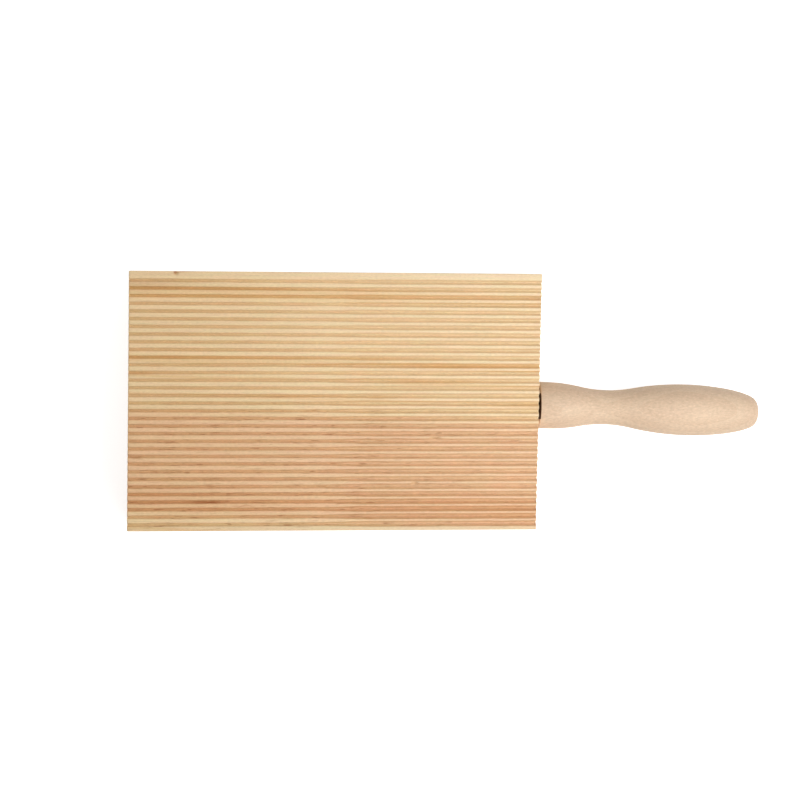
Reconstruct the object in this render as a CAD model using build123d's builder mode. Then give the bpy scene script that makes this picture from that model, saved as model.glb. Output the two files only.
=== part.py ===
from build123d import *
from math import cos, radians, sin, tan
import os

# A hand tool for ridged pasta: a plank of softwood with milled grooves, and a turned hardwood handle
# whose round tenon is glued into a blind socket in the plank's end.
# Millimetres. The origin is the middle of the plank's underside, +X points to the handle and +Z is up.

# Plank, with both ends sawn a little out of square
board_length = 131.6
board_width = 82.8
board_thickness = 18.0
board_arris = 0.3
end_skew = 0.65

# Grooves, cut along the plank by a cutter with straight flanks and a round nose
groove_count = 33
groove_pitch = 2.43
groove_field_shift = -0.4
groove_flank_lean = 30.0
groove_nose_radius = 0.3
groove_width = 1.18

# The cutter sinks deeper over the last part of the plank, so the grooves open wider there
deep_groove_width = 1.7
deep_start = 62.0
deep_ramp_length = 14.0

# Handle joint
shoulder_gap = 0.8
tenon_diameter = 10.0
tenon_length = 24.0
tenon_chamfer = 0.8
socket_clearance = 0.05
socket_spare_depth = 1.0

# The handle's axis leaves the plank a little off the middle and a little askew
handle_offset = -1.45
handle_skew = -1.8

# Handle: stations are measured along its axis from the shoulder
handle_length = 74.0
shoulder_diameter = 15.25
shoulder_arris = 0.5
collar_length = 3.35
hollow_start = 14.1
hollow_end = 31.2
hollow_edge_diameter = 13.05
back_station = 61.5
back_diameter = 15.34
cap_radius = 9.0
cap_half_angle = 21.0
rim_radius = 3.5
rim_turn = 37.0

# Pulls: how far the last curve leaves the swell and meets the rim along the tangents there
back_pull = 5.0
rim_pull = 2.0

# How far each cutter runs past the face it opens
cut_overrun = 2.0


def groove_depth(width):
    """Depth at which the round-nosed cutter opens a groove of this width."""
    sharp_depth = width / 2 / tan(flank_lean)
    return sharp_depth - groove_nose_radius * (1 / sin(flank_lean) - 1)


# Places that both pieces share
flank_lean = radians(groove_flank_lean)
free_end = -board_length / 2
handle_end = board_length / 2
end_slant = tan(radians(end_skew))
end_reach = board_width / 2 * end_slant
skew = radians(handle_skew)
handle_plane = Plane(
    origin=(handle_end + handle_offset * end_slant, handle_offset, board_thickness / 2),
    x_dir=(cos(skew), sin(skew), 0),
    z_dir=(0, 0, 1),
)
handle_axis = Axis(handle_plane.origin, handle_plane.x_dir)
socket_plane = Plane(origin=handle_plane.origin, x_dir=(0, 0, 1), z_dir=-handle_plane.x_dir)

# Cutter for one groove, over the middle line of the plank
ramp_start = free_end + deep_start
cutter_stations = (
    (free_end - end_reach - cut_overrun, groove_width),
    (ramp_start, groove_width),
    (ramp_start + deep_ramp_length, deep_groove_width),
    (handle_end + end_reach + cut_overrun, deep_groove_width),
)
with BuildPart() as groove_cutter:
    for station, width in cutter_stations:
        bottom = board_thickness - groove_depth(width)
        nose_centre = bottom + groove_nose_radius
        tangent_y = groove_nose_radius * cos(flank_lean)
        tangent_z = nose_centre - groove_nose_radius * sin(flank_lean)
        open_y = width / 2 + cut_overrun * tan(flank_lean)
        open_z = board_thickness + cut_overrun
        with BuildSketch(Plane.YZ.offset(station)):
            with BuildLine():
                Line((-open_y, open_z), (-tangent_y, tangent_z))
                ThreePointArc((-tangent_y, tangent_z), (0, bottom), (tangent_y, tangent_z))
                Line((tangent_y, tangent_z), (open_y, open_z))
                Line((open_y, open_z), (-open_y, open_z))
            make_face()
    loft(ruled=True)

# Plank with its grooves and the blind socket
with BuildPart() as grooved_board:
    with BuildSketch():
        with BuildLine():
            Polyline(
                (free_end - end_reach, -board_width / 2),
                (handle_end - end_reach, -board_width / 2),
                (handle_end + end_reach, board_width / 2),
                (free_end + end_reach, board_width / 2),
                close=True,
            )
        make_face()
    extrude(amount=board_thickness)
    chamfer(grooved_board.edges(), length=board_arris)
    with Locations((0, groove_field_shift, 0)):
        with GridLocations(0, groove_pitch, 1, groove_count):
            add(groove_cutter.part, mode=Mode.SUBTRACT)
    with BuildSketch(socket_plane.offset(-cut_overrun)):
        Circle(tenon_diameter / 2 + socket_clearance)
    extrude(amount=cut_overrun + tenon_length + socket_spare_depth, mode=Mode.SUBTRACT)
grooved_board.part.label = "grooved_board"

# Handle with its tenon, turned about one axis
shoulder = shoulder_gap
tip = shoulder + handle_length
collar_end = (shoulder + collar_length, shoulder_diameter / 2)
hollow_front = (shoulder + hollow_start, hollow_edge_diameter / 2)
hollow_back = (shoulder + hollow_end, hollow_edge_diameter / 2)
back = Vector(shoulder + back_station, back_diameter / 2)
with BuildPart() as turned_handle:
    with BuildSketch(handle_plane):
        with BuildLine():
            Polyline(
                (tip, 0),
                (-tenon_length, 0),
                (-tenon_length, tenon_diameter / 2 - tenon_chamfer),
                (tenon_chamfer - tenon_length, tenon_diameter / 2),
                (shoulder, tenon_diameter / 2),
                (shoulder, shoulder_diameter / 2 - shoulder_arris),
                (shoulder + shoulder_arris, shoulder_diameter / 2),
                collar_end,
            )
            taper = TangentArc(collar_end, hollow_front, tangent=(1, 0))
            hollow = TangentArc(hollow_front, hollow_back, tangent=taper % 1)
            swell = TangentArc(hollow_back, back, tangent=hollow % 1)
            cap = CenterArc((tip - cap_radius, 0), cap_radius, 0, cap_half_angle)
            rim = JernArc(start=cap @ 1, tangent=cap % 1, radius=rim_radius, arc_size=rim_turn)
            Bezier(back, back + swell % 1 * back_pull, rim @ 1 + rim % 1 * rim_pull, rim @ 1)
        make_face()
    revolve(axis=handle_axis)
turned_handle.part.label = "turned_handle"

os.makedirs("parts", exist_ok=True)
export_step(grooved_board.part, "parts/grooved_board.step")
export_step(turned_handle.part, "parts/turned_handle.step")
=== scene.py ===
# Looks of the ridged pasta board: a grooved softwood plank with a turned hardwood handle.
# Metres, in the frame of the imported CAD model. MM turns millimetres into metres.

from math import atan, atan2, cos, pi, radians, sin, sqrt, tan

import bmesh
import bpy
import numpy as np
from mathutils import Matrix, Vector


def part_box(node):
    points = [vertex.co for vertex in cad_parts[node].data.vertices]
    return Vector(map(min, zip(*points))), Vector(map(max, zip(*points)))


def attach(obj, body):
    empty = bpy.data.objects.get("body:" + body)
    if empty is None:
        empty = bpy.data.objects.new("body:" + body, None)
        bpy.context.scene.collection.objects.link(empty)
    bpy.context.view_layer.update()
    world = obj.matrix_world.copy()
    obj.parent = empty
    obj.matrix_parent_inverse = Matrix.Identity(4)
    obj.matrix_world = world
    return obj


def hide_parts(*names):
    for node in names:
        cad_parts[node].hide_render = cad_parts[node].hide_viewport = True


MM = 0.001

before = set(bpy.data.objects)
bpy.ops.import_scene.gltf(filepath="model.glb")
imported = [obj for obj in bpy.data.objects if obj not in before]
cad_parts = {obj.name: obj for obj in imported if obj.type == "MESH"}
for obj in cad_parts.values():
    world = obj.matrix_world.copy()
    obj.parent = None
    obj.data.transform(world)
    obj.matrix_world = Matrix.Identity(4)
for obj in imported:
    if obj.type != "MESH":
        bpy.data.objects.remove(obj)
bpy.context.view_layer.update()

# Places taken from the CAD model
board_low, board_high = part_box("grooved_board")
HALF_WIDTH = board_high.y
THICKNESS = board_high.z

# Both ends are sawn a little out of square, so these are the ends on the plank's middle line
END_SKEW = radians(0.65)
END_SLANT = tan(END_SKEW)
END_REACH = HALF_WIDTH * END_SLANT
FREE_END = board_low.x + END_REACH
HANDLE_END = board_high.x - END_REACH
BOARD_LENGTH = HANDLE_END - FREE_END

# Grooves, with the sizes of the CAD model
GROOVE_COUNT = 33
GROOVE_PITCH = 2.43 * MM
GROOVE_FIELD_SHIFT = -0.4 * MM
GROOVE_FLANK_LEAN = radians(30)
GROOVE_NOSE_RADIUS = 0.3 * MM
GROOVE_WIDTH = 1.18 * MM
DEEP_GROOVE_WIDTH = 1.7 * MM
DEEP_START = 62 * MM
DEEP_RAMP_LENGTH = 14 * MM

# Wear and tool marks of the plank. The cutter leaned, so grooves get wider towards the lower long edge.
GROOVE_LEAN_WIDENING = 0.06 * MM
DEEP_LEAN_WIDENING = 0.17 * MM
BOARD_ARRIS = 0.25 * MM
END_ARRIS = 0.18 * MM
LAND_EDGE_DROP = 0.07 * MM
LAND_EDGE_WIDTH = 0.16 * MM
EDGE_WANDER = 0.045 * MM
DEPTH_WANDER = 0.035 * MM
LAND_WANDER = 0.02 * MM
STATION_STEP = 0.4 * MM
CORNER_STEPS = 3
GROOVE_SAMPLE_SHARES = (-1, -0.8, -0.6, -0.4, -0.2, 0, 0.2, 0.4, 0.6, 0.8, 1)
LAND_SAMPLE_SHARES = (0.25, 0.5, 0.75)

# How many cross-sections each kind of wander takes to change, and the shares of the finer ones
SLOW_EDGE_REACH = 14
FINE_EDGE_REACH = 3
FINE_EDGE_SHARE = 0.4
LAND_REACH = 6
FINE_LAND_REACH = 3
FINE_LAND_SHARE = 0.5
DEPTH_REACH = 5
NOISE_SPREAD = 0.5

# How sharply a groove's edge drops: higher powers keep the drop nearer to the edge
EDGE_DROP_POWER = 6

# Chips: place along the plank, place from its upper long edge, half length, half width, depth
LAND_CHIPS = (
    (98.0 * MM, 53.1 * MM, 1.6 * MM, 0.8 * MM, 0.6 * MM),
    (91.7 * MM, 67.7 * MM, 0.9 * MM, 0.8 * MM, 0.6 * MM),
    (14.9 * MM, 0.0 * MM, 0.5 * MM, 0.9 * MM, 0.8 * MM),
    (17.2 * MM, 0.0 * MM, 2.6 * MM, 0.35 * MM, 0.35 * MM),
)

# Handle joint and handle, with the sizes of the CAD model
HANDLE_OFFSET = -1.45 * MM
HANDLE_SKEW = radians(-1.8)
SHOULDER_GAP = 0.8 * MM
TENON_RADIUS = 5.0 * MM
TENON_LENGTH = 24.0 * MM
TENON_CHAMFER = 0.8 * MM
SOCKET_RADIUS = 5.05 * MM
SOCKET_DEPTH = 25.0 * MM
HANDLE_LENGTH = 74.0 * MM
SHOULDER_RADIUS = 7.625 * MM
SHOULDER_ARRIS = 0.5 * MM
COLLAR_LENGTH = 3.35 * MM
HOLLOW_START = 14.1 * MM
HOLLOW_END = 31.2 * MM
HOLLOW_EDGE_RADIUS = 6.525 * MM
BACK_STATION = 61.5 * MM
BACK_RADIUS = 7.67 * MM
CAP_RADIUS = 9.0 * MM
CAP_HALF_ANGLE = radians(21)
RIM_RADIUS = 3.5 * MM
RIM_TURN = radians(37)
BACK_PULL = 5.0 * MM
RIM_PULL = 2.0 * MM
HANDLE_SEGMENTS = 192
SOCKET_SEGMENTS = 64
TURNING_RIPPLE = 0.008 * MM
TURNING_REACH = 2
COLLAR_MIDDLE_SHARE = 0.6

# Steps along each curve of the handle's profile
ARRIS_STEPS = 6
TAPER_STEPS = 24
HOLLOW_STEPS = 40
SWELL_STEPS = 64
BACK_STEPS = 26
RIM_STEPS = 12
CAP_STEPS = 12

# Camera, matched to the photograph
CAMERA_PLACE = (-25.268 * MM, 38.443 * MM, 560.056 * MM)
CAMERA_TILT_DEGREES = (-4.0024, -4.8121, 0.4245)
CAMERA_LENS = 76.5
CAMERA_SENSOR = 36.0

rng = np.random.default_rng(7)


def smooth_noise(count, reach):
    """Random values that change smoothly over about `reach` samples, mostly between -1 and 1."""
    window = np.hanning(2 * (reach + 1) + 1)
    raw = rng.standard_normal(count + len(window) - 1)
    values = np.convolve(raw, window, mode="valid")
    return values / values.std() * NOISE_SPREAD


def mesh_object(name, points, faces):
    """A smooth-shaded mesh object."""
    mesh = bpy.data.meshes.new(name)
    mesh.from_pydata(points, [], faces)
    mesh.validate()
    thing = bpy.data.objects.new(name, mesh)
    bpy.context.scene.collection.objects.link(thing)
    for polygon in mesh.polygons:
        polygon.use_smooth = True
    return thing


# Board

def groove_width(along, centre):
    """Width of the groove with this middle line, at this distance from the free end."""
    ramp = np.clip((along - DEEP_START) / DEEP_RAMP_LENGTH, 0, 1)
    lean_share = -centre / HALF_WIDTH
    shallow = GROOVE_WIDTH + GROOVE_LEAN_WIDENING * lean_share
    deep = DEEP_GROOVE_WIDTH + DEEP_LEAN_WIDENING * lean_share
    return shallow + (deep - shallow) * ramp


def groove_depth(offset, width):
    """Depth of a round-nosed groove of this width, at this distance from its middle line."""
    offset = np.abs(offset)
    nose_reach = GROOVE_NOSE_RADIUS * cos(GROOVE_FLANK_LEAN)
    sharp = (width / 2 - offset) / tan(GROOVE_FLANK_LEAN)
    sharp_bottom = width / 2 / tan(GROOVE_FLANK_LEAN)
    bottom = sharp_bottom - GROOVE_NOSE_RADIUS * (1 / sin(GROOVE_FLANK_LEAN) - 1)
    inside = np.clip(offset, 0, nose_reach)
    rounded = bottom - GROOVE_NOSE_RADIUS + np.sqrt(GROOVE_NOSE_RADIUS**2 - inside**2)
    return np.where(offset < nose_reach, rounded, sharp)


def edge_noise(count):
    """How a groove's edge wanders: slowly, with finer steps on top."""
    slow = smooth_noise(count, SLOW_EDGE_REACH)
    return slow + FINE_EDGE_SHARE * smooth_noise(count, FINE_EDGE_REACH)


def top_columns(along):
    """Places across the plank and heights of the top face, from the lower long edge to the upper one."""
    count = len(along)
    columns = []
    first = -HALF_WIDTH + BOARD_ARRIS
    last = HALF_WIDTH - BOARD_ARRIS
    groove_edges = []
    for number in range(GROOVE_COUNT):
        centre = GROOVE_FIELD_SHIFT + (number - (GROOVE_COUNT - 1) / 2) * GROOVE_PITCH
        width = groove_width(along, centre)
        low = centre - width / 2 + EDGE_WANDER * edge_noise(count)
        high = centre + width / 2 + EDGE_WANDER * edge_noise(count)
        groove_edges.append((low, high))
    land_start = np.full(count, first)
    for low, high in groove_edges + [(np.full(count, last), None)]:
        land_height = LAND_WANDER * smooth_noise(count, LAND_REACH)
        near = land_start + LAND_EDGE_WIDTH
        far = low - LAND_EDGE_WIDTH
        columns.append((near, land_height))
        for share in LAND_SAMPLE_SHARES:
            ripple = LAND_WANDER * FINE_LAND_SHARE * smooth_noise(count, FINE_LAND_REACH)
            columns.append((near + (far - near) * share, land_height + ripple))
        columns.append((far, land_height))
        if high is None:
            break
        middle = (low + high) / 2
        half = (high - low) / 2
        deeper = 1 + DEPTH_WANDER / (GROOVE_WIDTH / 2) * smooth_noise(count, DEPTH_REACH)
        for share in GROOVE_SAMPLE_SHARES:
            depth = groove_depth(half * share, 2 * half) * deeper
            drop = LAND_EDGE_DROP * abs(share) ** EDGE_DROP_POWER
            columns.append((middle + half * share, -depth - drop))
        land_start = high
    across = np.stack([np.broadcast_to(column[0], count) for column in columns], axis=1)
    height = np.stack([np.broadcast_to(column[1], count) for column in columns], axis=1)
    return across, height


def chip_drop(along, from_edge):
    """How far the chips lower the top face at these places."""
    drop = np.zeros_like(from_edge)
    for place, row, half_length, half_width, depth in LAND_CHIPS:
        bump = ((along - place) / half_length) ** 2 + ((from_edge - row) / half_width) ** 2
        drop += depth * np.exp(-bump)
    return drop


def corner_arc(centre_y, centre_z, start):
    """Quarter circle of the plank's long edges, as places across and heights."""
    angles = [start + pi / 2 * step / CORNER_STEPS for step in range(CORNER_STEPS + 1)]
    return [(centre_y + BOARD_ARRIS * cos(a), centre_z + BOARD_ARRIS * sin(a)) for a in angles]


def board_rings():
    """Closed cross-section rings of the plank from its free end to its handle end."""
    inner = np.arange(END_ARRIS, BOARD_LENGTH - END_ARRIS, STATION_STEP)
    along = np.concatenate([[0], inner, [BOARD_LENGTH - END_ARRIS, BOARD_LENGTH]])
    across, height = top_columns(along)
    top = np.minimum(THICKNESS - LAND_WANDER + height, THICKNESS)
    top -= chip_drop(along[:, None], HALF_WIDTH - across)
    side = HALF_WIDTH - BOARD_ARRIS
    upper_edge = corner_arc(side, THICKNESS - BOARD_ARRIS, 0)
    lower_edge = corner_arc(-side, THICKNESS - BOARD_ARRIS, pi / 2)
    lower_foot = corner_arc(-side, BOARD_ARRIS, pi)
    upper_foot = corner_arc(side, BOARD_ARRIS, -pi / 2)
    rings = []
    for index, place in enumerate(along):
        top_points = list(zip(across[index][::-1], top[index][::-1]))
        ring = upper_edge[:-1] + top_points + lower_edge[1:] + lower_foot + upper_foot
        ring = np.array(ring)
        if index in (0, len(along) - 1):
            ring = ring * (1 - END_ARRIS / HALF_WIDTH) + [0, END_ARRIS / HALF_WIDTH * THICKNESS / 2]
            ring[:, 1] = np.minimum(ring[:, 1], THICKNESS - END_ARRIS)
            ring[:, 1] = np.maximum(ring[:, 1], END_ARRIS)
        rings.append([(FREE_END + place + y * END_SLANT, y, z) for y, z in ring])
    return rings


def handle_point(station, lateral, up):
    """A point by its place along the handle's axis, sideways of it and above it."""
    x = HANDLE_END + HANDLE_OFFSET * END_SLANT + station * cos(HANDLE_SKEW) - lateral * sin(HANDLE_SKEW)
    y = HANDLE_OFFSET + station * sin(HANDLE_SKEW) + lateral * cos(HANDLE_SKEW)
    return Vector((x, y, THICKNESS / 2 + up))


def socket_mouth(angle):
    """Where the socket's wall meets the plank's end, at this angle round the handle's axis."""
    lateral = SOCKET_RADIUS * cos(angle)
    return handle_point(lateral * tan(HANDLE_SKEW + atan(END_SLANT)), lateral, SOCKET_RADIUS * sin(angle))


def make_board():
    """The grooved plank as one closed mesh with the handle's socket."""
    rings = board_rings()
    size = len(rings[0])
    points = [point for ring in rings for point in ring]
    faces = []
    for ring in range(len(rings) - 1):
        start = ring * size
        for i in range(size):
            j = (i + 1) % size
            faces.append((start + i, start + size + i, start + size + j, start + j))
    faces.append(tuple(range(size)))
    board = mesh_object("board_wood", points, faces)
    build = bmesh.new()
    build.from_mesh(board.data)
    build.verts.ensure_lookup_table()
    last_ring = [build.verts[(len(rings) - 1) * size + i] for i in range(size)]
    angles = [2 * pi * i / SOCKET_SEGMENTS for i in range(SOCKET_SEGMENTS)]
    mouth = [build.verts.new(socket_mouth(angle)) for angle in angles]
    floor = []
    for angle in angles:
        lateral = SOCKET_RADIUS * cos(angle)
        floor.append(build.verts.new(handle_point(-SOCKET_DEPTH, lateral, SOCKET_RADIUS * sin(angle))))
    edges = [build.edges.get((last_ring[i], last_ring[(i + 1) % size])) for i in range(size)]
    for i in range(SOCKET_SEGMENTS):
        j = (i + 1) % SOCKET_SEGMENTS
        edges.append(build.edges.new((mouth[i], mouth[j])))
        wall = build.faces.new((mouth[j], mouth[i], floor[i], floor[j]))
        wall.smooth = True
    build.faces.new(floor[::-1])
    bmesh.ops.triangle_fill(build, use_beauty=True, edges=edges)
    bmesh.ops.recalc_face_normals(build, faces=build.faces)
    for face in build.faces:
        centre = face.calc_center_median()
        square_x = centre.x - centre.y * END_SLANT
        from_end = min(abs(square_x - FREE_END), abs(square_x - HANDLE_END))
        if from_end < END_ARRIS / 4:
            face.smooth = False
            for edge in face.edges:
                edge.smooth = False
    build.to_mesh(board.data)
    build.free()
    return board


# Handle

def tangent_arc(start, heading, end, steps):
    """Points after the start on the arc that leaves it at this heading, and the heading at the end."""
    chord = (end[0] - start[0], end[1] - start[1])
    slope = atan2(chord[1], chord[0])
    turn = 2 * (slope - heading)
    radius = sqrt(chord[0] ** 2 + chord[1] ** 2) / (2 * sin(turn / 2))
    points = []
    for step in range(1, steps + 1):
        angle = heading + turn * step / steps
        x = start[0] + radius * (sin(angle) - sin(heading))
        y = start[1] - radius * (cos(angle) - cos(heading))
        points.append((x, y))
    return points, heading + turn


def bezier(a, b, c, d, steps):
    """Points after the start on a cubic curve."""
    points = []
    for step in range(1, steps + 1):
        t = step / steps
        shares = ((1 - t) ** 3, 3 * (1 - t) ** 2 * t, 3 * (1 - t) * t**2, t**3)
        x = sum(share * point[0] for share, point in zip(shares, (a, b, c, d)))
        y = sum(share * point[1] for share, point in zip(shares, (a, b, c, d)))
        points.append((x, y))
    return points


def handle_profile():
    """Station and radius from the tenon's end to the handle's tip."""
    shoulder = SHOULDER_GAP
    tip = shoulder + HANDLE_LENGTH - TURNING_RIPPLE
    points = [
        (-TENON_LENGTH, TENON_RADIUS - TENON_CHAMFER),
        (-TENON_LENGTH + TENON_CHAMFER, TENON_RADIUS),
        (shoulder - SHOULDER_ARRIS, TENON_RADIUS),
        (shoulder, TENON_RADIUS),
        (shoulder, (TENON_RADIUS + SHOULDER_RADIUS) / 2),
    ]
    for step in range(ARRIS_STEPS + 1):
        angle = pi / 2 * step / ARRIS_STEPS
        x = shoulder + SHOULDER_ARRIS * (1 - cos(angle))
        points.append((x, SHOULDER_RADIUS - SHOULDER_ARRIS * (1 - sin(angle))))
    collar_end = (shoulder + COLLAR_LENGTH, SHOULDER_RADIUS)
    points += [(shoulder + COLLAR_LENGTH * COLLAR_MIDDLE_SHARE, SHOULDER_RADIUS), collar_end]
    hollow_front = (shoulder + HOLLOW_START, HOLLOW_EDGE_RADIUS)
    hollow_back = (shoulder + HOLLOW_END, HOLLOW_EDGE_RADIUS)
    back = (shoulder + BACK_STATION, BACK_RADIUS)
    arc, heading = tangent_arc(collar_end, 0, hollow_front, TAPER_STEPS)
    points += arc
    arc, heading = tangent_arc(hollow_front, heading, hollow_back, HOLLOW_STEPS)
    points += arc
    arc, heading = tangent_arc(hollow_back, heading, back, SWELL_STEPS)
    points += arc
    cap_centre = tip - CAP_RADIUS
    rim_centre_x = cap_centre + (CAP_RADIUS - RIM_RADIUS) * cos(CAP_HALF_ANGLE)
    rim_centre_y = (CAP_RADIUS - RIM_RADIUS) * sin(CAP_HALF_ANGLE)
    rim_start = CAP_HALF_ANGLE + RIM_TURN

    def rim_point(angle):
        return rim_centre_x + RIM_RADIUS * cos(angle), rim_centre_y + RIM_RADIUS * sin(angle)

    rim_edge = rim_point(rim_start)
    leave = (back[0] + BACK_PULL * cos(heading), back[1] + BACK_PULL * sin(heading))
    arrive = (rim_edge[0] - RIM_PULL * sin(rim_start), rim_edge[1] + RIM_PULL * cos(rim_start))
    points += bezier(back, leave, arrive, rim_edge, BACK_STEPS)
    for step in range(1, RIM_STEPS + 1):
        points.append(rim_point(rim_start - RIM_TURN * step / RIM_STEPS))
    for step in range(1, CAP_STEPS):
        angle = CAP_HALF_ANGLE * (1 - step / CAP_STEPS)
        points.append((cap_centre + CAP_RADIUS * cos(angle), CAP_RADIUS * sin(angle)))
    return points, tip


def make_handle():
    """The turned handle as one closed mesh with its tenon."""
    profile, tip = handle_profile()
    ripple = TURNING_RIPPLE * smooth_noise(len(profile), TURNING_REACH)
    points = []
    faces = []
    for index, (station, radius) in enumerate(profile):
        worn = radius - abs(ripple[index]) if radius > TENON_RADIUS else radius
        for i in range(HANDLE_SEGMENTS):
            angle = 2 * pi * i / HANDLE_SEGMENTS
            points.append(handle_point(station, worn * cos(angle), worn * sin(angle)))
    for ring in range(len(profile) - 1):
        start = ring * HANDLE_SEGMENTS
        for i in range(HANDLE_SEGMENTS):
            j = (i + 1) % HANDLE_SEGMENTS
            faces.append((start + i, start + j, start + HANDLE_SEGMENTS + j, start + HANDLE_SEGMENTS + i))
    faces.append(tuple(range(HANDLE_SEGMENTS))[::-1])
    top = len(points)
    points.append(handle_point(tip, 0, 0))
    last = (len(profile) - 1) * HANDLE_SEGMENTS
    for i in range(HANDLE_SEGMENTS):
        faces.append((last + i, last + (i + 1) % HANDLE_SEGMENTS, top))
    return mesh_object("handle_wood", points, faces)


# Material graphs

class Graph:
    """A material's node tree with short ways to add nodes and links."""

    def __init__(self, name):
        self.material = bpy.data.materials.new(name)
        self.material.use_nodes = True
        self.nodes = self.material.node_tree.nodes
        self.links = self.material.node_tree.links
        self.shader = self.nodes["Principled BSDF"]

    def add(self, kind, **settings):
        node = self.nodes.new(kind)
        for name, value in settings.items():
            setattr(node, name, value)
        return node

    def feed(self, socket, value):
        if isinstance(value, bpy.types.NodeSocket):
            self.links.new(value, socket)
        else:
            socket.default_value = value

    def math(self, operation, first, second=0.0, third=0.0):
        node = self.add("ShaderNodeMath", operation=operation)
        for socket, value in zip(node.inputs, (first, second, third)):
            self.feed(socket, value)
        return node.outputs[0]

    def scaled(self, vector, factors):
        node = self.add("ShaderNodeVectorMath", operation="MULTIPLY")
        self.feed(node.inputs[0], vector)
        self.feed(node.inputs[1], factors)
        return node.outputs[0]

    def brighter(self, color, factor):
        node = self.add("ShaderNodeVectorMath", operation="SCALE")
        self.feed(node.inputs[0], color)
        self.feed(node.inputs["Scale"], factor)
        return node.outputs[0]

    def places(self):
        """The place on the object in millimetres, as a vector and as its three parts."""
        coordinates = self.add("ShaderNodeTexCoord").outputs["Object"]
        place = self.scaled(coordinates, (1 / MM,) * 3)
        parts = self.add("ShaderNodeSeparateXYZ")
        self.feed(parts.inputs[0], place)
        return place, *parts.outputs

    def noise(self, place, fineness, detail, roughness=0.5):
        """Noise from 0 to 1. Fineness is how much it changes per millimetre along each axis."""
        node = self.add("ShaderNodeTexNoise")
        self.feed(node.inputs["Vector"], self.scaled(place, fineness))
        node.inputs["Scale"].default_value = 1.0
        node.inputs["Detail"].default_value = detail
        node.inputs["Roughness"].default_value = roughness
        return node.outputs["Fac"]

    def span(self, value, start, end, low=0.0, high=1.0, smooth=True):
        """The value's place between start and end, carried over to low and high."""
        node = self.add("ShaderNodeMapRange", interpolation_type="SMOOTHSTEP" if smooth else "LINEAR")
        for socket, given in zip(node.inputs[:5], (value, start, end, low, high)):
            self.feed(socket, given)
        return node.outputs[0]

    def swing(self, noise, amount, level=0.0):
        """The level, moved up and down by the noise."""
        return self.math("MULTIPLY_ADD", self.math("SUBTRACT", noise, 0.5), amount, level)

    def product(self, first, second):
        return self.math("MULTIPLY", first, second)

    def bell(self, value, centre, half_width):
        """1 at the centre, falling to 0 at half_width to either side."""
        distance = self.math("ABSOLUTE", self.math("SUBTRACT", value, centre))
        return self.span(distance, 0.0, half_width, 1.0, 0.0)

    def mix(self, share, first, second):
        node = self.add("ShaderNodeMix", data_type="RGBA")
        self.feed(node.inputs["Factor"], share)
        self.feed(node.inputs[6], first)
        self.feed(node.inputs[7], second)
        return node.outputs[2]

    def tinted(self, share, color, tint):
        """The colour, multiplied by the tint as far as the share says."""
        return self.mix(share, color, self.scaled(color, tint))

    def ramp(self, value, stops):
        node = self.add("ShaderNodeValToRGB")
        self.feed(node.inputs[0], value)
        elements = node.color_ramp.elements
        while len(elements) < len(stops):
            elements.new(0.5)
        for element, (place, color) in zip(elements, stops):
            element.position = place
            element.color = color
        return node.outputs[0]

    def finish(self, color, height, bump_strength, bump_height, roughness, specular):
        """Gives the shader its colour, bump and gloss, and returns the material."""
        bump = self.add("ShaderNodeBump")
        bump.inputs["Strength"].default_value = bump_strength
        bump.inputs["Distance"].default_value = bump_height
        self.feed(bump.inputs["Height"], height)
        self.feed(self.shader.inputs["Base Color"], color)
        self.feed(self.shader.inputs["Normal"], bump.outputs[0])
        self.shader.inputs["Roughness"].default_value = roughness
        self.shader.inputs["Specular IOR Level"].default_value = specular
        return self.material


def linear(red, green, blue):
    """A colour written in sRGB steps of 0 to 255, as the linear colour that nodes use."""
    shades = [step / 255 for step in (red, green, blue)]
    return (*[s / 12.92 if s < 0.04045 else ((s + 0.055) / 1.055) ** 2.4 for s in shades], 1.0)


# Softwood. All distances are in millimetres: along from the free end, rows from the upper long edge.
# The rings lie round a pith below the plank and askew to it.
PITH_FROM_EDGE = 60.0
PITH_DRIFT = 5.6
PITH_DEPTH = 25.0
RING_WIDENING = 1.06
RING_REACH = 64.0
SAPWOOD = linear(235, 207, 166)
LATEWOOD = linear(222, 182, 129)
HEARTWOOD = linear(231, 193, 154)

# Wood counts as milled where it lies between these depths below the lands and off the sides and ends
MILLED_START = 0.03
MILLED_FULL = 0.25
MILLED_END = 2.0
SIDE_MARGIN = 0.1

# Noise: how fine it is along, across and into the plank, detail, and roughness where it isn't usual
RING_WANDER = ((0.018, 0.05, 0.05), 1.0)
RING_RIPPLE = ((0.09, 0.25, 0.25), 2.0)
STREAK_EDGE = ((0.35, 1.2, 1.2), 2.0)
FIBRES = ((0.12, 2.6, 2.6), 3.0, 0.6)
GRAIN = ((0.9, 3.0, 3.0), 2.0)
BANDS = ((0.02, 0.7, 0.7), 2.0)
BLUSH = ((0.1, 1.1, 1.1), 2.0)
DASHES = ((0.22, 2.6, 2.6), 1.0)

# How far the noise shifts the rings and streaks, and how much it changes the wood's brightness
RING_WANDER_AMOUNT = 1.2
RING_RIPPLE_AMOUNT = 0.8
STREAK_EDGE_AMOUNT = 1.0
FIBRES_AMOUNT = 0.24
GRAIN_AMOUNT = 0.34
BANDS_AMOUNT = 0.18

# The outer rings get paler towards the handle, and are paler on the planed lands
FADE_START = 20.0
FADE_SHARE = 0.45
FADED_RINGS = (44.0, 49.0)
PLANED_START = 60.0
PLANED_SHARES = (0.5, 0.9)
PLANED_RINGS = (28.5, 31.0)

# Red row of the heartwood: its middle row at the free end, its slope, and how it weakens half way along
RED_HEART = linear(222, 175, 131)
RED_ROW = 72.6
RED_SLOPE = 0.03
RED_HALF_WIDTH = 7.0
RED_GAP_PLACE = 68.0
RED_GAP_HALF_LENGTH = 55.0
RED_GAP_SHARE = 0.4
RED_LAND_SHARE = 0.4

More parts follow.
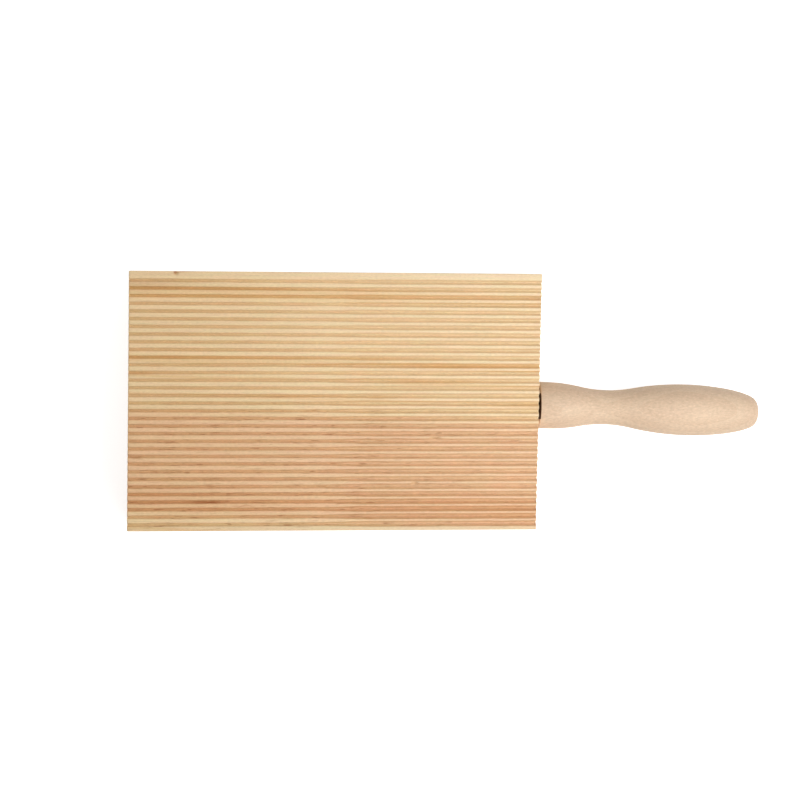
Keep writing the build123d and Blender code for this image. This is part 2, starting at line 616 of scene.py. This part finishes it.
# The wood is painted darker and yellower towards the free end and paler towards the handle: painted light
# falling off along the plank
FREE_END_SHADE_TINT = (0.94, 0.925, 0.88, 1.0)
HANDLE_END_LIGHT_TINT = (1.02, 1.06, 1.12, 1.0)

# Fibres run from pinker to yellower wood
BLUSH_TINT = (1.015, 0.975, 0.985, 1.0)
STRAW_TINT = (0.985, 1.015, 0.985, 1.0)
BLUSH_LEVELS = (0.3, 0.7)

# Both long edges are a little darker: where that starts and is full, from the edge inwards
RIM_TINT = (0.935, 0.94, 0.95)
RIM_START = 2.2
RIM_FULL = 1.2

# The grooves' sides are darker, partly from the rougher cut wood and partly as painted shade, and less dark
# deep down
FLANK_CUT_AND_SHADE_TINT = (0.87, 0.81, 0.73, 1.0)
BOTTOM_CUT_AND_SHADE_TINT = (0.93, 0.93, 0.91, 1.0)
BOTTOM_DEPTHS = (0.82, 1.05)

# The groove darkening is weaker half way along the plank in the upper rows
WEAKER_DARKENING_PLACE = 75.0
WEAKER_DARKENING_HALF_LENGTH = 60.0
WEAKER_DARKENING_ROWS = (28.0, 44.0)
WEAKER_DARKENING_SHARE = 0.4

# Short dark dashes in the heartwood: rows and places where they get frequent, noise levels, strength on
# the lands and in the grooves
DASH_BROWN = linear(155, 98, 62)
DASH_ROWS = (36.0, 48.0)
DASH_PLACES = (110.0, 50.0)
DASH_HANDLE_SHARE = 0.6
DASH_LEVELS = (0.61, 0.71)
DASH_SHARES = (0.25, 0.75)

SOFT_BUMP_STRENGTH = 0.35
SOFT_BUMP_HEIGHT = 0.05 * MM
SOFT_ROUGHNESS = 0.72
SOFT_SPECULAR = 0.25

# Growth rings by their distance from the pith's line, measured on the top face: distance, colour
RING_STOPS = (
    (0.0, HEARTWOOD),
    (14.2, HEARTWOOD),
    (16.1, linear(233, 200, 158)),
    (17.8, SAPWOOD),
    (20.5, SAPWOOD),
    (21.4, linear(230, 194, 147)),
    (22.4, SAPWOOD),
    (26.5, SAPWOOD),
    (27.3, linear(227, 191, 143)),
    (28.3, SAPWOOD),
    (31.2, SAPWOOD),
    (32.1, LATEWOOD),
    (33.4, linear(227, 189, 138)),
    (34.9, SAPWOOD),
    (50.4, SAPWOOD),
    (52.0, linear(228, 191, 140)),
    (53.2, LATEWOOD),
    (54.8, LATEWOOD),
    (56.2, SAPWOOD),
    (64.0, SAPWOOD),
)

# Resin streaks: place along the plank, row, half length, half width, strength
STREAKS = (
    (25.0, 73.5, 9.0, 0.75, 0.7),
    (36.5, 74.8, 5.0, 0.45, 0.4),
    (13.5, 54.5, 4.0, 0.5, 0.5),
    (13.5, 52.0, 3.0, 0.4, 0.35),
    (2.5, 59.2, 3.0, 0.5, 0.45),
    (26.0, 66.2, 5.0, 0.5, 0.3),
    (14.9, 0.3, 0.8, 1.1, 0.8),
    (17.6, 0.1, 3.6, 0.5, 0.6),
    (72.0, 78.2, 4.5, 0.5, 0.45),
    (76.5, 78.9, 3.0, 0.4, 0.4),
    (3.0, 4.0, 27.0, 1.8, 0.28),
)
STREAK_RED = linear(166, 98, 50)

# Depths below the lands between which the streaks end
STREAK_DEPTHS = (0.9, 1.5)


def milled_share(graph, x, y, below_top):
    """1 in the grooves, 0 on the lands and on the plank's other faces."""
    square_x = graph.math("SUBTRACT", x, graph.product(y, END_SLANT))
    inside_x = graph.math("LESS_THAN", graph.math("ABSOLUTE", square_x), HANDLE_END / MM - SIDE_MARGIN)
    inside_y = graph.math("LESS_THAN", graph.math("ABSOLUTE", y), HALF_WIDTH / MM - SIDE_MARGIN)
    deep = graph.span(below_top, MILLED_START, MILLED_FULL)
    milled = graph.product(deep, graph.product(inside_x, inside_y))
    return graph.product(milled, graph.math("LESS_THAN", below_top, MILLED_END))


def ring_reach(graph, place, z, along, from_edge):
    """Distance from the pith's line in millimetres, as it would be measured on the top face."""
    shift = graph.swing(graph.noise(place, *RING_WANDER), RING_WANDER_AMOUNT)
    shift = graph.swing(graph.noise(place, *RING_RIPPLE), RING_RIPPLE_AMOUNT, shift)
    length = BOARD_LENGTH / MM
    pith = graph.span(along, 0.0, length, PITH_FROM_EDGE, PITH_FROM_EDGE + PITH_DRIFT, smooth=False)
    sideways = graph.math("SUBTRACT", graph.math("ADD", from_edge, shift), pith)
    depth = graph.math("ADD", z, PITH_DEPTH - THICKNESS / MM)
    squares = graph.math("MULTIPLY_ADD", depth, depth, -(PITH_DEPTH**2))
    squares = graph.math("MULTIPLY_ADD", sideways, sideways, squares)
    widening = graph.span(along, 0.0, length, 1.0, RING_WIDENING, smooth=False)
    return graph.math("DIVIDE", graph.math("SQRT", graph.math("MAXIMUM", squares, 0.0)), widening)


def ring_color(graph, reach, along, on_land):
    """Colour of the growth rings, paler where they fade."""
    length = BOARD_LENGTH / MM
    stops = [(distance / RING_REACH, color) for distance, color in RING_STOPS]
    color = graph.ramp(graph.math("DIVIDE", reach, RING_REACH), stops)
    faded = graph.span(along, FADE_START, length, 0.0, FADE_SHARE)
    fade = graph.product(faded, graph.span(reach, *FADED_RINGS))
    planed = graph.product(on_land, graph.span(reach, *PLANED_RINGS))
    planed = graph.product(planed, graph.span(along, PLANED_START, length, *PLANED_SHARES))
    return graph.mix(graph.math("MAXIMUM", fade, planed), color, SAPWOOD)


def with_red_and_streaks(graph, color, place, along, from_edge, milled, below_top):
    """The colour with the heartwood's red row and the resin streaks."""
    red_row = graph.math("MULTIPLY_ADD", along, RED_SLOPE, RED_ROW)
    gap = graph.product(graph.bell(along, RED_GAP_PLACE, RED_GAP_HALF_LENGTH), RED_GAP_SHARE)
    red_band = graph.bell(from_edge, red_row, RED_HALF_WIDTH)
    red_share = graph.product(graph.math("SUBTRACT", 1.0, gap), red_band)
    red_share = graph.product(red_share, graph.span(milled, 0.0, 1.0, RED_LAND_SHARE, 1.0))
    color = graph.mix(red_share, color, RED_HEART)
    near_top = graph.span(below_top, *STREAK_DEPTHS, 1.0, 0.0)
    ragged = graph.swing(graph.noise(place, *STREAK_EDGE), STREAK_EDGE_AMOUNT)
    ragged_row = graph.math("ADD", from_edge, ragged)
    for place_along, row, half_length, half_width, strength in STREAKS:
        streak = graph.product(graph.bell(along, place_along, half_length), strength)
        streak = graph.product(streak, near_top)
        streak = graph.product(streak, graph.bell(ragged_row, row, half_width))
        color = graph.mix(streak, color, STREAK_RED)
    return color


def softwood():
    """Planed softwood with the plank's growth rings, heart zone, fibres and small dashes."""
    graph = Graph("softwood")
    place, x, y, z = graph.places()
    along = graph.math("SUBTRACT", x, FREE_END / MM)
    from_edge = graph.math("SUBTRACT", HALF_WIDTH / MM, y)
    below_top = graph.math("SUBTRACT", THICKNESS / MM, z)
    milled = milled_share(graph, x, y, below_top)
    on_land = graph.span(milled, 0.0, 1.0, 1.0, 0.0)
    reach = ring_reach(graph, place, z, along, from_edge)
    color = ring_color(graph, reach, along, on_land)
    color = with_red_and_streaks(graph, color, place, along, from_edge, milled, below_top)

    fibres = graph.noise(place, *FIBRES)
    tone = graph.swing(fibres, FIBRES_AMOUNT, 1.0)
    tone = graph.swing(graph.noise(place, *GRAIN), GRAIN_AMOUNT, tone)
    tone = graph.swing(graph.noise(place, *BANDS), BANDS_AMOUNT, tone)
    color = graph.brighter(color, tone)
    blush = graph.span(graph.noise(place, *BLUSH), *BLUSH_LEVELS)
    color = graph.scaled(color, graph.mix(blush, BLUSH_TINT, STRAW_TINT))
    # Painted light: darker towards the free end, brighter and paler towards the handle
    towards_handle = graph.span(along, 0.0, BOARD_LENGTH / MM)
    color = graph.scaled(color, graph.mix(towards_handle, FREE_END_SHADE_TINT, HANDLE_END_LIGHT_TINT))

    across = graph.math("ABSOLUTE", y)
    rim = graph.span(across, HALF_WIDTH / MM - RIM_START, HALF_WIDTH / MM - RIM_FULL)
    color = graph.tinted(rim, color, RIM_TINT)
    # Painted shade in the grooves, partly the cut wood's darker tone, weaker half way along in the upper
    # rows
    cut_and_shade_tint = graph.mix(graph.span(below_top, *BOTTOM_DEPTHS), FLANK_CUT_AND_SHADE_TINT, BOTTOM_CUT_AND_SHADE_TINT)
    weaker_darkening_rows = graph.span(from_edge, *WEAKER_DARKENING_ROWS, WEAKER_DARKENING_SHARE, 0.0)
    weaker_groove_darkening = graph.product(graph.bell(along, WEAKER_DARKENING_PLACE, WEAKER_DARKENING_HALF_LENGTH), weaker_darkening_rows)
    cut_and_shade = graph.product(milled, graph.math("SUBTRACT", 1.0, weaker_groove_darkening))
    color = graph.tinted(cut_and_shade, color, cut_and_shade_tint)

    in_heart = graph.span(from_edge, *DASH_ROWS)
    zone = graph.product(in_heart, graph.span(along, *DASH_PLACES, DASH_HANDLE_SHARE, 1.0))
    dashes = graph.product(graph.span(graph.noise(place, *DASHES), *DASH_LEVELS), zone)
    dashes = graph.product(dashes, graph.span(milled, 0.0, 1.0, *DASH_SHARES))
    color = graph.mix(dashes, color, DASH_BROWN)
    return graph.finish(
        color, fibres, SOFT_BUMP_STRENGTH, SOFT_BUMP_HEIGHT, SOFT_ROUGHNESS, SOFT_SPECULAR
    )


# Hardwood. All distances are in millimetres. The rings lie round a pith below the handle and askew to it.
HARD_PITH_DEPTH = 21.0
HARD_PITH_SIDE = -2.0
HARD_PITH_SLOPE = 0.06
HARD_RING_WIDTH = 2.3
HARD_RING_SHARE = 0.4
HARD_EARLYWOOD = linear(218, 192, 164)
HARD_LATEWOOD = linear(204, 173, 144)

# Noise: how fine it is along, across and into the handle, and its detail
HARD_WANDER = ((0.03, 0.1, 0.1), 2.0)
HARD_WANDER_AMOUNT = 4.0
CLOUDS = ((0.06, 0.16, 0.16), 2.0)
DARK_FLECKS = ((0.8, 3.4, 3.4), 2.0)
LIGHT_FLECKS = ((0.9, 3.8, 3.8), 1.0)
MOTTLE = ((0.9, 2.0, 2.0), 2.0)
MOTTLE_AMOUNT = 0.42

# Noise levels at which clouds and flecks start and are full, and the shares of colour they then have
CLOUD_LEVELS = (0.35, 0.7, 0.0, 0.5)
DARK_FLECK_LEVELS = (0.6, 0.75, 0.0, 0.35)
LIGHT_FLECK_LEVELS = (0.62, 0.75, 0.0, 0.4)
CLOUD_BROWN = linear(208, 178, 152)
FLECK_BROWN = linear(188, 146, 117)
FLECK_PALE = linear(238, 216, 191)

# The tenon and the shoulder's middle are painted dark brown, painted shade so the slit beside them looks
# dark
SLIT_SHADE_BROWN = linear(70, 44, 26)
SLIT_SHADE_REACH_SHARE = 1.3
SLIT_SHADE_RADIUS_SHARE = 0.84

# The handle is painted darker towards its far side and its tip as painted shade, the far side less near the
# tip
TIP_SHADE_TINT = (0.91, 0.91, 0.91)
TIP_PLACES = (115.0, 137.0)
FAR_SIDE_SHADE_TINT = (0.87, 0.87, 0.86)
FAR_SIDE_PLACES = (-4.0, 5.0)
FAR_SIDE_FADE = (110.0, 137.0, 1.0, 0.3)

HARD_BUMP_STRENGTH = 0.25
HARD_BUMP_HEIGHT = 0.04 * MM
HARD_ROUGHNESS = 0.62
HARD_SPECULAR = 0.3


def hardwood():
    """Turned, unfinished hardwood: pinkish, with short flecks and faint rings."""
    graph = Graph("hardwood")
    place, x, y, z = graph.places()

    depth = graph.math("ADD", z, HARD_PITH_DEPTH)
    sideways = graph.math("ADD", y, graph.math("MULTIPLY_ADD", x, HARD_PITH_SLOPE, HARD_PITH_SIDE))
    squares = graph.math("MULTIPLY_ADD", sideways, sideways, graph.product(depth, depth))
    wander = graph.product(graph.noise(place, *HARD_WANDER), HARD_WANDER_AMOUNT)
    radius = graph.math("ADD", graph.math("SQRT", squares), wander)
    ring = graph.math("FRACT", graph.math("DIVIDE", radius, HARD_RING_WIDTH))
    ring_tone = graph.span(ring, 0.0, 1.0, 1.0, 0.0, smooth=False)
    color = graph.mix(graph.product(ring_tone, HARD_RING_SHARE), HARD_EARLYWOOD, HARD_LATEWOOD)

    flecks = graph.noise(place, *DARK_FLECKS)
    color = graph.mix(graph.span(graph.noise(place, *CLOUDS), *CLOUD_LEVELS), color, CLOUD_BROWN)
    color = graph.mix(graph.span(flecks, *DARK_FLECK_LEVELS), color, FLECK_BROWN)
    color = graph.mix(graph.span(graph.noise(place, *LIGHT_FLECKS), *LIGHT_FLECK_LEVELS), color, FLECK_PALE)
    color = graph.brighter(color, graph.swing(graph.noise(place, *MOTTLE), MOTTLE_AMOUNT, 1.0))
    # Painted shade: darker towards the tip and towards the far side
    color = graph.tinted(graph.span(x, *TIP_PLACES), color, TIP_SHADE_TINT)
    far_side = graph.product(graph.span(y, *FAR_SIDE_PLACES), graph.span(x, *FAR_SIDE_FADE))
    color = graph.tinted(far_side, color, FAR_SIDE_SHADE_TINT)

    # Painted shade: the tenon and the shoulder's middle darkened where the slit beside them is in shade
    axis_foot = HANDLE_END + HANDLE_OFFSET * END_SLANT
    slit_shade_end = (axis_foot + SHOULDER_GAP * SLIT_SHADE_REACH_SHARE) / MM
    from_axis = graph.math("ABSOLUTE", graph.math("SUBTRACT", y, HANDLE_OFFSET / MM))
    near_axis = graph.math("LESS_THAN", from_axis, TENON_RADIUS * SLIT_SHADE_RADIUS_SHARE / MM)
    slit_shade = graph.product(graph.math("LESS_THAN", x, slit_shade_end), near_axis)
    color = graph.mix(slit_shade, color, SLIT_SHADE_BROWN)
    return graph.finish(
        color, flecks, HARD_BUMP_STRENGTH, HARD_BUMP_HEIGHT, HARD_ROUGHNESS, HARD_SPECULAR
    )


# Stage

WHITE = (1.0, 1.0, 1.0, 1.0)

# The floor's glow keeps the paper white, from the object outwards, and leaves the shadow on it
FLOOR_SIZE = 6.0
FLOOR_GAP = 0.2 * MM
FLOOR_PAPER = (0.85, 0.85, 0.85, 1.0)
FLOOR_GLOW = 0.67
FAR_GLOW = 0.9
GLOW_START = 0.3
GLOW_END = 1.2

# Light of the surroundings on the object
AMBIENT = 0.22


def shown_rays(nodes, links):
    """1 for the rays that should see a white background."""
    rays = nodes.new("ShaderNodeLightPath")
    total = rays.outputs["Is Camera Ray"]
    for name in ("Is Glossy Ray", "Is Transmission Ray"):
        either = nodes.new("ShaderNodeMath")
        either.operation = "MAXIMUM"
        links.new(total, either.inputs[0])
        links.new(rays.outputs[name], either.inputs[1])
        total = either.outputs[0]
    return total


def make_floor():
    """A white floor that still takes the object's shadow."""
    half = FLOOR_SIZE / 2
    outline = ((-half, -half), (half, -half), (half, half), (-half, half))
    corners = [(x, y, -FLOOR_GAP) for x, y in outline]
    floor = mesh_object("floor", corners, [(0, 1, 2, 3)])
    material = bpy.data.materials.new("floor_paper")
    material.use_nodes = True
    nodes = material.node_tree.nodes
    links = material.node_tree.links
    shader = nodes["Principled BSDF"]
    shader.inputs["Base Color"].default_value = FLOOR_PAPER
    shader.inputs["Roughness"].default_value = 1.0
    shader.inputs["Specular IOR Level"].default_value = 0.0
    shader.inputs["Emission Color"].default_value = WHITE
    place = nodes.new("ShaderNodeTexCoord")
    distance = nodes.new("ShaderNodeVectorMath")
    distance.operation = "LENGTH"
    links.new(place.outputs["Object"], distance.inputs[0])
    level = nodes.new("ShaderNodeMapRange")
    level.inputs["From Min"].default_value = GLOW_START
    level.inputs["From Max"].default_value = GLOW_END
    level.inputs["To Min"].default_value = FLOOR_GLOW
    level.inputs["To Max"].default_value = FAR_GLOW
    links.new(distance.outputs["Value"], level.inputs["Value"])
    glow = nodes.new("ShaderNodeMath")
    glow.operation = "MULTIPLY"
    links.new(level.outputs[0], glow.inputs[1])
    links.new(shown_rays(nodes, links), glow.inputs[0])
    links.new(glow.outputs[0], shader.inputs["Emission Strength"])
    floor.data.materials.append(material)


def make_world():
    """Even white surroundings that light the object softly."""
    world = bpy.data.worlds.new("studio")
    world.use_nodes = True
    bpy.context.scene.world = world
    nodes = world.node_tree.nodes
    links = world.node_tree.links
    strength = nodes.new("ShaderNodeMapRange")
    strength.inputs["To Min"].default_value = AMBIENT
    strength.inputs["To Max"].default_value = 1.0
    links.new(shown_rays(nodes, links), strength.inputs["Value"])
    background = nodes["Background"]
    background.inputs["Color"].default_value = WHITE
    links.new(strength.outputs[0], background.inputs["Strength"])


# Soft boxes: name, place in metres, width, height, power in watts
SOFT_BOXES = (
    ("main", (0.36, -0.09, 0.46), 0.35, 0.35, 2.6),
    ("near_side", (0.2, -0.33, 0.3), 0.3, 0.2, 0.44),
    ("far_side", (-0.08, 0.33, 0.3), 0.3, 0.2, 0.58),
)
AIM = Vector((0.02, 0.0, 0.0))


def make_lights():
    """Three soft boxes, all turned to the object."""
    for name, place, width, height, power in SOFT_BOXES:
        data = bpy.data.lights.new(name, "AREA")
        data.shape = "RECTANGLE"
        data.size = width
        data.size_y = height
        data.energy = power
        light = bpy.data.objects.new(name, data)
        light.location = place
        light.rotation_euler = (AIM - Vector(place)).to_track_quat("-Z", "Y").to_euler()
        bpy.context.scene.collection.objects.link(light)


def make_camera():
    """The camera of the photograph."""
    data = bpy.data.cameras.new("camera")
    data.lens = CAMERA_LENS
    data.sensor_width = CAMERA_SENSOR
    camera = bpy.data.objects.new("camera", data)
    camera.location = CAMERA_PLACE
    camera.rotation_euler = [radians(angle) for angle in CAMERA_TILT_DEGREES]
    bpy.context.scene.collection.objects.link(camera)
    bpy.context.scene.camera = camera


board = make_board()
board.data.materials.append(softwood())
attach(board, "root")
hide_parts("grooved_board")

handle = make_handle()
handle.data.materials.append(hardwood())
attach(handle, "root")
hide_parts("turned_handle")

make_floor()
make_world()
make_lights()
make_camera()
bpy.context.scene.view_settings.view_transform = "Standard"
